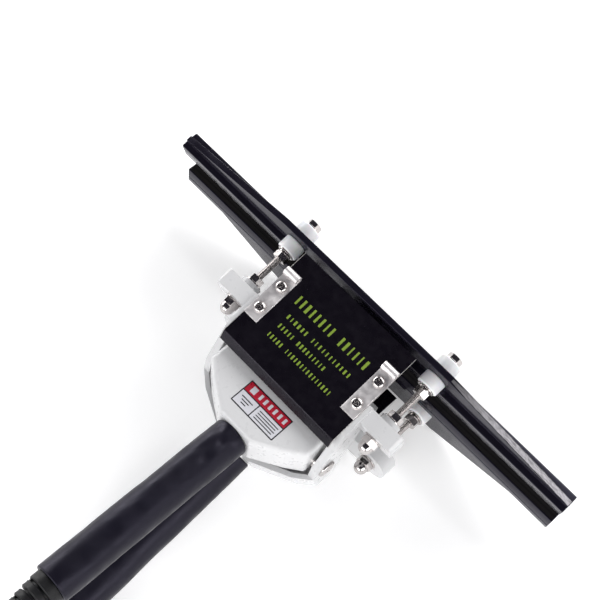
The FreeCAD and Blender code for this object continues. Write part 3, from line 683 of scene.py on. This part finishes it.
def stud_pieces(side, matrix, body):
    """Both studs of one jaw: threaded screws, bushes, washers, nuts and domed nuts."""
    rods, bushes, flats, splits, nuts, domes = (bmesh.new() for _ in range(6))
    fin_front = JAW_REACH + FIN_THICKNESS / 2
    fin_back = JAW_REACH - FIN_THICKNESS / 2
    for index, x in enumerate((-STUD_SPREAD, STUD_SPREAD)):
        twist = Matrix.Rotation(math.radians(3 * index - 1), 4, "Z")
        shank = [(0, STUD_BACK), (STUD_RADIUS, STUD_BACK)]
        shank += thread_rings(STUD_RADIUS, BOSS_END - 1, REAR_BUSH_END - 2, THREAD_PITCH)
        shank += [(STUD_RADIUS, STUD_FRONT)]
        revolve(rods, shank + [(0, STUD_FRONT)], on_stud(x), 28)
        head = hexagon_rings(HEXAGON_RADIUS, HEAD_HEIGHT - HEAD_EASE, 0, chamfer_low=False)
        revolve(rods, head, on_stud(x, STUD_FRONT) @ twist, 48)

        front = rounded_disc(BUSH_RADIUS, STUD_HOLE, FRONT_BUSH_END - fin_front, 1.3)
        rear = rounded_disc(BUSH_RADIUS, STUD_HOLE, fin_back - REAR_BUSH_END, 1.1)
        revolve(bushes, front, on_stud(x, fin_front), 56, closed=True)
        revolve(bushes, rear, on_stud(x, REAR_BUSH_END), 56, closed=True)

        for radius, start, height in ((HEAD_WASHER, FRONT_BUSH_END, 1.0),
                                      (WASHER_RADIUS, REAR_BUSH_END - WASHER_SHEET, WASHER_SHEET),
                                      (WASHER_RADIUS, BOSS_END, WASHER_SHEET),
                                      (ACORN_WASHER, EAR_BACK - 1, 1.0)):
            revolve(flats, rounded_disc(radius, STUD_HOLE, height, 0.25), on_stud(x, start), 48, closed=True)
        split_start = REAR_BUSH_END - WASHER_SHEET - SPLIT_HEIGHT
        split_ring(splits, x, split_start)

        for number, start in enumerate((split_start - NUT_HEIGHT, BOSS_END + WASHER_SHEET)):
            spin = Matrix.Rotation(math.radians(25 + 31 * number + 13 * index), 4, "Z")
            revolve(nuts, hexagon_rings(HEXAGON_RADIUS, NUT_HEIGHT, STUD_RADIUS), on_stud(x, start) @ spin,
                    48, closed=True)
        domed_nut(domes, x, index)
    fastener = [MATERIALS["fastener"]]
    finish_piece(side + "_threaded_studs", rods, matrix, body, fastener, [side + "_studs"])
    finish_piece(side + "_bushes", bushes, matrix, body, [MATERIALS["insulator"]],
                 [side + "_insulators"])
    finish_piece(side + "_flat_washers", flats, matrix, body, fastener, [side + "_washers"])
    finish_piece(side + "_split_washers", splits, matrix, body, fastener,
                 [side + "_spring_washers"])
    finish_piece(side + "_hexagon_nuts", nuts, matrix, body, fastener, [side + "_nuts"])
    finish_piece(side + "_domed_nuts", domes, matrix, body, fastener, [side + "_acorn_nuts"])


def split_ring(bm, x, start):
    """A spring washer: a square-section ring cut through, its ends a little apart along the stud."""
    inner, outer, rise = STUD_HOLE, SPLIT_RADIUS, 0.3
    height = SPLIT_HEIGHT - rise
    steps, gap = 44, math.radians(14)
    axis = on_stud(x, start)
    loops = []
    for step in range(steps + 1):
        angle = gap / 2 + (TAU - gap) * step / steps - math.pi / 2
        lift = rise * step / steps
        loops.append([bm.verts.new(axis @ Vector((r * math.cos(angle), r * math.sin(angle), lift + h)))
                      for r, h in ((inner, 0), (outer - 0.2, 0), (outer, 0.2), (outer, height - 0.2),
                                   (outer - 0.2, height), (inner, height))])
    skin(bm, loops)


def domed_nut(bm, x, index):
    """An acorn nut behind the ear: hexagon base, turned neck and a round dome."""
    start = EAR_BACK - 1
    axis = on_stud(x, start) @ Matrix.Rotation(math.pi, 4, "X")
    spin = Matrix.Rotation(math.radians(9 + 23 * index), 4, "Z")
    rings = hexagon_rings(ACORN_RADIUS, ACORN_BASE, STUD_RADIUS)[:-1]
    rings += [(DOME_RADIUS, ACORN_BASE + 0.05), (DOME_RADIUS, ACORN_NECK)]
    rings += [(DOME_RADIUS * math.cos(t), ACORN_NECK + DOME_RADIUS * math.sin(t))
              for t in (math.radians(10 * k) for k in range(1, 9))]
    rings += [(0, ACORN_NECK + DOME_RADIUS)]
    revolve(bm, rings, axis @ spin, 48)
    bore = [(STUD_RADIUS, 0.0), (STUD_RADIUS, start - STUD_BACK), (0, start - STUD_BACK)]
    revolve(bm, bore, axis @ spin, 48)


stud_pieces("upper", RAISED, OUTER_BODY)
stud_pieces("lower", LOWER_JAW, INNER_BODY)


# ---------------------------------------------------------------- handles

def handle_axis(side):
    """An axis along a handle, away from the hinge; its Y is the outer side of the handle."""
    slope = HANDLE_SLOPES[side]
    foot = Vector((0, -NECK_FOOT, HANDLE_LEVEL - GRIP_START * math.sin(slope)))
    turn = Matrix(((1, 0, 0), (0, math.sin(slope), -math.cos(slope)), (0, math.cos(slope), math.sin(slope))))
    return Matrix.Translation(foot) @ turn.to_4x4()


def dent_depth(dents, along, angle):
    """How far the sleeve is pressed in (or, below zero, raised) at a place, in millimetres."""
    total = 0.0
    for centre, around, length, width, depth in dents:
        away = (angle - math.radians(around) + math.pi) % TAU - math.pi
        total += depth * math.exp(-((along - centre) / length) ** 2 - (away / math.radians(width)) ** 2)
    return total


def sleeve(side, matrix, body, dents, seed):
    """A heat-shrink sleeve with soft dents, a rolled front lip and a loose rear end."""
    bm = bmesh.new()
    steps, segments, lip, lip_bore = 150, 72, 1.3, 12.85
    shift = Vector((seed * 3.7, seed * 1.3, seed * 5.1))

    def outer(along):
        edge = min(along - GRIP_FROM, GRIP_TO - along)
        rounding = lip - math.sqrt(max(0.0, lip ** 2 - (lip - min(edge, lip)) ** 2))

        def ring(angle):
            around = Vector((math.cos(angle) * 1.2, math.sin(angle) * 1.2, along * 0.035))
            wave = noise.noise(around + shift) * 0.45 + noise.noise(around * 3.1 + shift) * 0.14
            pressed = dent_depth(dents, along, angle)
            radius = GRIP_RADIUS - 0.25 - rounding - max(0.0, wave + 0.1) - pressed
            return max(radius, TUBE_RADIUS + 0.2), along
        return ring

    places = [GRIP_FROM + lip * (1 - math.cos(math.pi / 2 * k / 6)) for k in range(6)]
    middle = [GRIP_FROM + lip + (GRIP_TO - GRIP_FROM - 2 * lip) * k / steps for k in range(steps + 1)]
    ends = [GRIP_TO - lip * (1 - math.sin(math.pi / 2 * k / 6)) for k in range(1, 7)]
    rings = [outer(a) for a in places + middle + ends]
    rings += [(lip_bore, GRIP_TO), (lip_bore, TUBE_LENGTH + 0.05), (TUBE_RADIUS, TUBE_LENGTH + 0.05),
              (TUBE_RADIUS, GRIP_FROM)]
    revolve(bm, rings, handle_axis(side), segments, closed=True)
    return finish_piece(side + "_sleeve", bm, matrix, body, [MATERIALS["sleeve"]],
                        [side + "_grip"], smooth=60)


# Each dent: distance along the handle, direction round it in degrees, half length, half width in
# degrees, depth. A negative depth is a bump.
UPPER_DENTS = [(25, 118, 4, 12, 0.9), (31, 84, 4, 10, 0.9), (27, 52, 4, 12, 0.7), (41, 100, 6, 13, 0.8),
               (38, 66, 5, 12, -0.4), (47, 78, 6, 11, 0.7), (60, 95, 20, 24, 0.35),
               (88, 70, 16, 20, -0.25), (118, 100, 22, 28, 0.4), (150, 80, 14, 24, 0.3),
               (140, 130, 18, 22, -0.2)]
LOWER_DENTS = [(45, 80, 14, 22, 0.4), (78, 10, 18, 26, 0.35), (110, 200, 12, 30, 0.4),
               (132, 350, 16, 24, 0.3), (100, 95, 24, 24, 0.3)]
sleeve("upper", LOWERED, INNER_BODY, UPPER_DENTS, 1)
sleeve("lower", LOWER_HANDLE, OUTER_BODY, LOWER_DENTS, 2)


def boot():
    """The ribbed rubber boot in the end of the upper handle, open for the lead."""
    bm = bmesh.new()
    bore, collar, soft = 3.4, 12.8, 0.7
    start = TUBE_LENGTH + 8.0
    rings = [(bore, TUBE_LENGTH - 20), (TUBE_BORE - 4, TUBE_LENGTH - 12), (TUBE_BORE, TUBE_LENGTH - 11),
             (TUBE_BORE, TUBE_LENGTH), (collar - soft, TUBE_LENGTH), (collar, TUBE_LENGTH + soft),
             (collar, start - soft), (collar - soft, start)]
    for index in range(BOOT_RIBS):
        rib, core = 12.0 - index, 9.8 - index
        first, last = start + RIB_GAP, start + RIB_PITCH
        bridge = rib - 0.5
        quarter = index % 2 * math.pi / 2

        def groove(height, rib_radius=bridge, core_radius=core, offset=quarter):
            def ring(angle):
                near = abs(math.cos(angle - offset))
                return (rib_radius if near > 0.88 else core_radius), height
            return ring

        rings += [groove(start + 0.1), groove(first - 0.1)]
        rings += [(rib - soft, first), (rib, first + soft), (rib - 0.2, (first + last) / 2),
                  (rib, last - soft), (rib - soft, last)]
        start += RIB_PITCH
    rings += [(bore + 1, start), (bore, start - 0.6)]
    revolve(bm, rings, handle_axis("upper"), 64, closed=True)
    return finish_piece("ribbed_boot", bm, LOWERED, INNER_BODY, [MATERIALS["boot"]],
                        ["strain_relief"])


def end_plug():
    """The push-in plug of the lower handle, with a domed face and a moulded ring."""
    bm = bmesh.new()
    face = TUBE_LENGTH + 3
    rim = GRIP_RADIUS - 1
    rings = [(0, TUBE_LENGTH - 10), (TUBE_BORE - 0.8, TUBE_LENGTH - 10), (TUBE_BORE, TUBE_LENGTH - 9),
             (TUBE_BORE, TUBE_LENGTH), (rim - 0.4, TUBE_LENGTH), (rim, TUBE_LENGTH + 0.5),
             (rim, face - 1.4), (rim - 0.5, face - 0.5), (rim - 1.6, face), (rim - 3.4, face),
             (rim - 3.8, face - 0.5), (rim - 4.6, face - 0.5), (rim - 5.0, face - 0.1), (rim - 9, face),
             (0, face)]
    revolve(bm, rings, handle_axis("lower"), 64)
    return finish_piece("end_plug", bm, LOWER_HANDLE, OUTER_BODY, [MATERIALS["boot"]],
                        ["lower_end_cap"])


boot()
end_plug()


# ---------------------------------------------------------------- cover, clips and screws

def cover(name, half, front, matrix, body, node):
    """A folded sheet over the gap between the arms, painted black with bare cut edges."""
    bm = bmesh.new()
    path = bend_path([(front, COVER_TOP), (COVER_BACK, COVER_TOP), (COVER_BACK - 5.5, COVER_TOP - 7)], 2.0)
    ends = extrude_across(bm, ribbon(path, SHEET_METAL), -half, half)
    bmesh.ops.remove_doubles(bm, verts=bm.verts, dist=1e-5)
    rims = [edge for edge in bm.edges if any(f in ends for f in edge.link_faces)]
    bmesh.ops.bevel(bm, geom=rims, offset=0.28, segments=2, affect="EDGES", profile=0.5)
    for face in bm.faces:
        centre = face.calc_center_median()
        bare = abs(centre.x) > half - 0.3 or centre.y > front - 0.05
        face.material_index = 1 if bare else 0
    return finish_piece(name, bm, matrix, body, [MATERIALS["cover_black"], CUT_EDGE], [node])


def clip(name, x, node):
    """A plated strip with a rolled-over tab at its jaw end."""
    bm = bmesh.new()
    top = COVER_TOP + 0.03
    centre_y, centre_z = CLIP_FRONT - CLIP_ROLL, top + CLIP_ROLL
    path = [Vector((CLIP_BACK, top)), Vector((CLIP_FRONT - CLIP_ROLL - 8, top))]
    for step in range(29):
        angle = math.radians(-90 + step * 265 / 28)
        path.append(Vector((centre_y + CLIP_ROLL * math.cos(angle), centre_z + CLIP_ROLL * math.sin(angle))))
    extrude_across(bm, ribbon(path, SHEET_METAL), x - CLIP_WIDTH / 2, x + CLIP_WIDTH / 2)
    bmesh.ops.remove_doubles(bm, verts=bm.verts, dist=1e-5)
    uprights = [e for e in bm.edges if all(abs(v.co.y - CLIP_BACK) < 0.01 for v in e.verts)
                and abs(e.verts[0].co.z - e.verts[1].co.z) > 0.5]
    bmesh.ops.bevel(bm, geom=uprights, offset=1.6, segments=4, affect="EDGES", profile=0.5)
    rims = [e for e in bm.edges if len(e.link_faces) == 2 and e.calc_face_angle() > math.radians(50)]
    bmesh.ops.bevel(bm, geom=rims, offset=0.22, segments=2, affect="EDGES", profile=0.5)
    return finish_piece(name, bm, RAISED, OUTER_BODY, [MATERIALS["clip_metal"]], [node])


def cross_recess(bm, centre, size, depth, turn):
    """A tapered cross, for the recess of a cross-head driver."""
    rows = []
    for reach, half, level in ((size, 0.62, 0.6), (size * 0.5, 0.3, -depth)):
        corners = []
        for quarter in range(4):
            spin = Matrix.Rotation(turn + quarter * math.pi / 2, 4, "Z")
            corners += [spin @ Vector(point) for point in
                        ((half, half, level), (half, reach, level), (-half, reach, level))]
        rows.append([bm.verts.new(centre @ corner) for corner in corners])
    count = len(rows[0])
    for i in range(count):
        bm.faces.new([rows[0][i], rows[0][(i + 1) % count], rows[1][(i + 1) % count], rows[1][i]])
    bm.faces.new(rows[0][::-1])
    bm.faces.new(rows[1])


def pan_screws(name, inset, seat, turns, matrix, body, node):
    """Four cross-head pan screws, through the clips or the lower cover."""
    bm, tools = bmesh.new(), bmesh.new()
    places = [(sign * inset, row) for sign in (-1, 1) for row in SCREW_ROWS]
    crown = [math.radians(a) for a in (15, 30, 45, 58, 70, 80)]
    for turn, (x, y) in zip(turns, places):
        rings = [(0, -PAN_LENGTH), (PAN_SHANK - 0.2, -PAN_LENGTH), (PAN_SHANK, 0.3 - PAN_LENGTH),
                 (PAN_SHANK, 0), (PAN_RADIUS - 0.25, 0), (PAN_RADIUS, 0.25), (PAN_RADIUS, PAN_RIM)]
        rings += [(PAN_RADIUS * math.cos(t) ** 0.8, PAN_RIM + (PAN_HEIGHT - PAN_RIM) * math.sin(t))
                  for t in crown]
        revolve(bm, rings + [(0, PAN_HEIGHT)], Matrix.Translation((x, y, seat)), 48)
        top = Matrix.Translation((x, y, seat + PAN_HEIGHT - 0.35))
        cross_recess(tools, top, 2.3, 1.5, math.radians(turn))
    return finish_piece(name, carve(bm, tools), matrix, body, [MATERIALS["fastener"]], [node])


cover("folded_cover", COVER_HALF, COVER_FRONT, RAISED, OUTER_BODY, "cover")
cover("lower_folded_cover", LOW_COVER_HALF, LOW_COVER_FRONT, LOWER_JAW, INNER_BODY, "lower_cover")
clip("left_rolled_clip", -CLIP_INSET, "left_clip")
clip("right_rolled_clip", CLIP_INSET, "right_clip")
pan_screws("cross_head_screws", CLIP_INSET, COVER_TOP + SHEET_METAL + 0.05, (20, 65, -10, 38), RAISED,
           OUTER_BODY, "cover_screws")
pan_screws("lower_cross_head_screws", LOW_SCREW_INSET, COVER_TOP, (5, 50, 72, -24), LOWER_JAW, INNER_BODY,
           "lower_cover_screws")


def printed_rows():
    """Four rows of plain printed bars on the cover; they stand for its lettering."""
    random.seed(11)
    bm = bmesh.new()
    low, high = COVER_TOP - SUNK, COVER_TOP + 0.05
    # Each row: distance from the hinge, first and last x, bar height, words as shares of the row.
    rows = [(67.5, -36.5, 37, 7.6, (8, 6)), (53.8, -32, 33, 3.8, (6, 11)), (44.8, -31.5, 16.5, 3.8, (5, 9)),
            (35.1, -32.5, 32, 3.8, (5, 15))]
    for y, first, last, height, words in rows:
        count = sum(words) + len(words) - 1
        pitch = (last - first) / count
        x = first
        for word in words:
            for _ in range(word):
                width = pitch * random.uniform(0.22, 0.5)
                plate(bm, x + pitch / 2, y, width, height, low, high, corner=min(0.35, width / 2.5))
                x += pitch
            x += pitch
    return finish_piece("printed_bars", bm, RAISED, OUTER_BODY, [GREEN_INK])


def label():
    """A blank two-colour label on the inner casting, with a thin black border."""
    bm = bmesh.new()
    left, right, back, front = -17, 25.5, -26.4, -5
    middle_x, middle_y = (left + right) / 2, (back + front) / 2
    width, depth, line = right - left, front - back, 0.9
    split = front - 0.43 * depth
    base = SHELL_TOP

    def panel(x0, x1, y0, y1, level, material):
        centre_x, centre_y = (x0 + x1) / 2, (y0 + y1) / 2
        for face in plate(bm, centre_x, centre_y, x1 - x0, y1 - y0, base - SUNK, base + level, 0.25):
            face.material_index = material

    for face in plate(bm, middle_x, middle_y, width, depth, base - SUNK, base + 0.08, 0.5):
        face.material_index = 0
    divider = left + 0.42 * width
    panel(left + line, divider - line / 2, back + line, split - line / 2, PANEL_LEVEL, 1)
    panel(divider + line / 2, right - line, back + line, split - line / 2, PANEL_LEVEL, 1)
    panel(left + line, right - line, split + line / 2, front - line, PANEL_LEVEL, 2)
    for index in range(7):
        tall = 4.6 if index else 5.4
        wide = 2.2 if index else 4.6
        across = left + 7 + 4.9 * index + (2.2 if index else 0)
        panel(across - wide / 2, across + wide / 2, (split + front - tall) / 2, (split + front + tall) / 2,
              PRINT_LEVEL, 1)
    for index in range(4):
        row = back + 2.6 + 2.1 * index
        panel(divider + 3, right - 3.5 + 0.8 * (index % 2), row, row + 0.7, PRINT_LEVEL, 0)
    for reach, row in ((5.5, 8.2), (3.6, 6.0), (2.4, 3.8)):
        middle = (left + divider) / 2
        panel(middle - reach, middle + reach, back + row - 0.4, back + row + 0.4, PRINT_LEVEL, 0)
    return finish_piece("blank_label", bm, LOWERED, INNER_BODY, [BLACK_INK, WHITE_INK, RED_INK])


printed_rows()
label()


# ---------------------------------------------------------------- hinge and spring

def pivot_heads():
    """The two pivot screws: a low domed head outside each cheek, with a cross recess."""
    bm, tools = bmesh.new(), bmesh.new()
    crown = [math.radians(a) for a in (15, 30, 45, 60, 72, 82)]
    for sign in (-1, 1):
        axis = Matrix.Translation((sign * OUTER_HALF, 0, 0)) @ Matrix.Rotation(sign * math.pi / 2, 4, "Y")
        rings = [(0, -PIVOT_LENGTH), (PIVOT_RADIUS - 0.4, -PIVOT_LENGTH), (PIVOT_RADIUS, 0.4 - PIVOT_LENGTH),
                 (PIVOT_RADIUS, 0), (PIVOT_HEAD - 0.3, 0), (PIVOT_HEAD, 0.3), (PIVOT_HEAD, PIVOT_RIM)]
        rings += [(PIVOT_HEAD * math.cos(t) ** 0.7, PIVOT_RIM + PIVOT_RISE * math.sin(t)) for t in crown]
        revolve(bm, rings + [(0, PIVOT_RIM + PIVOT_RISE)], axis, 56)
        cross_recess(tools, axis @ Matrix.Translation((0, 0, 2.6)), 3.4, 1.7, math.radians(31 * sign))
    return finish_piece("pivot_screws", carve(bm, tools), RAISED, OUTER_BODY,
                        [MATERIALS["fastener"]], ["pivot_bolts"])


def spring():
    """The upright coil between the shells, with closed ends."""
    low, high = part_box("return_spring")
    bm = bmesh.new()
    wire = 0.9 * MM
    centre = (low + high) / 2
    radius = (high.x - low.x) / 2 - wire
    turns, per_turn, around = 10, 28, 10
    steps = turns * per_turn
    loops = []
    for step in range(steps + 1):
        share = step / steps
        eased = share - CLOSED_ENDS * math.sin(TAU * share)
        angle = TAU * turns * share
        level = low.z + wire + (high.z - low.z - 2 * wire) * eased
        outward = Vector((math.cos(angle), math.sin(angle), 0))
        middle = Vector((centre.x, centre.y, level)) + outward * radius
        loops.append([bm.verts.new(middle + wire * (math.cos(TAU * k / around) * outward
                                                    + math.sin(TAU * k / around) * Vector((0, 0, 1))))
                      for k in range(around)])
    skin(bm, loops)
    coil = finish_piece("coil_spring", bm, Matrix.Identity(4), OUTER_BODY,
                        [MATERIALS["spring_steel"]], ["return_spring"])
    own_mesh(coil)
    return coil


pivot_heads()
spring()


# ---------------------------------------------------------------- floor, light and camera

FLOOR_RADIUS = 4.0
FLOOR_DROP = 0.0002                             # metres below the object, so that the two never meet
FLOOR_GLOW = 0.28
WHITE_BELOW, DARK_ABOVE = 0.15, 0.6             # heights on the sky's sphere
SKY_STRENGTH = 0.9


def floor():
    """A plain pale disc under the object."""
    bm = bmesh.new()
    bmesh.ops.create_circle(bm, cap_ends=True, radius=FLOOR_RADIUS, segments=96)
    mesh = bpy.data.meshes.new("floor")
    bm.to_mesh(mesh)
    bm.free()
    surface = Finish("pale_floor", (0.93, 0.93, 0.93), 0.55, Emission_Color=(1, 1, 1, 1),
                     Emission_Strength=FLOOR_GLOW)
    surface.tint(surface.spread(surface.grain(6, 3), 0.4, 0.8, 0, 0.2), (0.9, 0.9, 0.905))
    mesh.materials.append(surface.material)
    ground = bpy.data.objects.new("floor", mesh)
    ground.location.z = -FLOOR_DROP
    bpy.context.scene.collection.objects.link(ground)


def area_light(name, place, aim, size, power):
    data = bpy.data.lights.new(name, "AREA")
    data.shape = "RECTANGLE"
    data.size, data.size_y = size
    data.energy = power
    lamp = bpy.data.objects.new(name, data)
    lamp.location = place
    lamp.rotation_mode = "QUATERNION"
    lamp.rotation_quaternion = (Vector(aim) - Vector(place)).to_track_quat("-Z", "Y")
    bpy.context.scene.collection.objects.link(lamp)


def surroundings():
    """A white room that is darker straight overhead, so that black tops read black."""
    world = bpy.data.worlds.new("studio")
    world.use_nodes = True
    bpy.context.scene.world = world
    tree = world.node_tree
    background = tree.nodes["Background"]
    direction = tree.nodes.new("ShaderNodeTexCoord").outputs["Generated"]
    split = tree.nodes.new("ShaderNodeSeparateXYZ")
    ramp = tree.nodes.new("ShaderNodeValToRGB")
    ramp.color_ramp.elements[0].position = WHITE_BELOW
    ramp.color_ramp.elements[0].color = (1.0, 1.0, 1.0, 1)
    ramp.color_ramp.elements[1].position = DARK_ABOVE
    ramp.color_ramp.elements[1].color = (0.035, 0.033, 0.045, 1)
    tree.links.new(direction, split.inputs[0])
    tree.links.new(split.outputs["Z"], ramp.inputs[0])
    tree.links.new(ramp.outputs[0], background.inputs["Color"])
    background.inputs["Strength"].default_value = SKY_STRENGTH


floor()
surroundings()
MIDDLE = (cad_box[0] + cad_box[1]) / 2
area_light("left_softbox", (-2.0, 0.3, 0.6), MIDDLE, (2.0, 0.5), 26)
area_light("right_softbox", (1.8, -0.3, 1.2), MIDDLE, (2.0, 1.2), 24)
area_light("back_softbox", (0.2, 1.8, 1.2), MIDDLE, (2.2, 1.2), 36)
area_light("front_softbox", (0.0, -1.8, 1.1), MIDDLE, (2.2, 1.0), 28)

CAMERA_PLACE = HINGE + Vector((0.18204, -0.15029, 0.80798))
CAMERA_FORWARD = Vector((-0.26530, 0.26134, -0.92800))
CAMERA_UP = Vector((-0.67471, 0.63723, 0.37232))
FIELD_OF_VIEW = math.radians(29.86)

lens = bpy.data.cameras.new("photo_view")
lens.angle = FIELD_OF_VIEW
lens.clip_start = 0.01
camera = bpy.data.objects.new("photo_view", lens)
right_hand = CAMERA_FORWARD.cross(CAMERA_UP).normalized()
upward = right_hand.cross(CAMERA_FORWARD).normalized()
axes = Matrix((right_hand, upward, -CAMERA_FORWARD.normalized())).transposed()
camera.matrix_world = Matrix.Translation(CAMERA_PLACE) @ axes.to_4x4()
bpy.context.scene.collection.objects.link(camera)
bpy.context.scene.camera = camera
bpy.context.scene.view_settings.view_transform = "Standard"
bpy.context.scene.view_settings.look = "None"
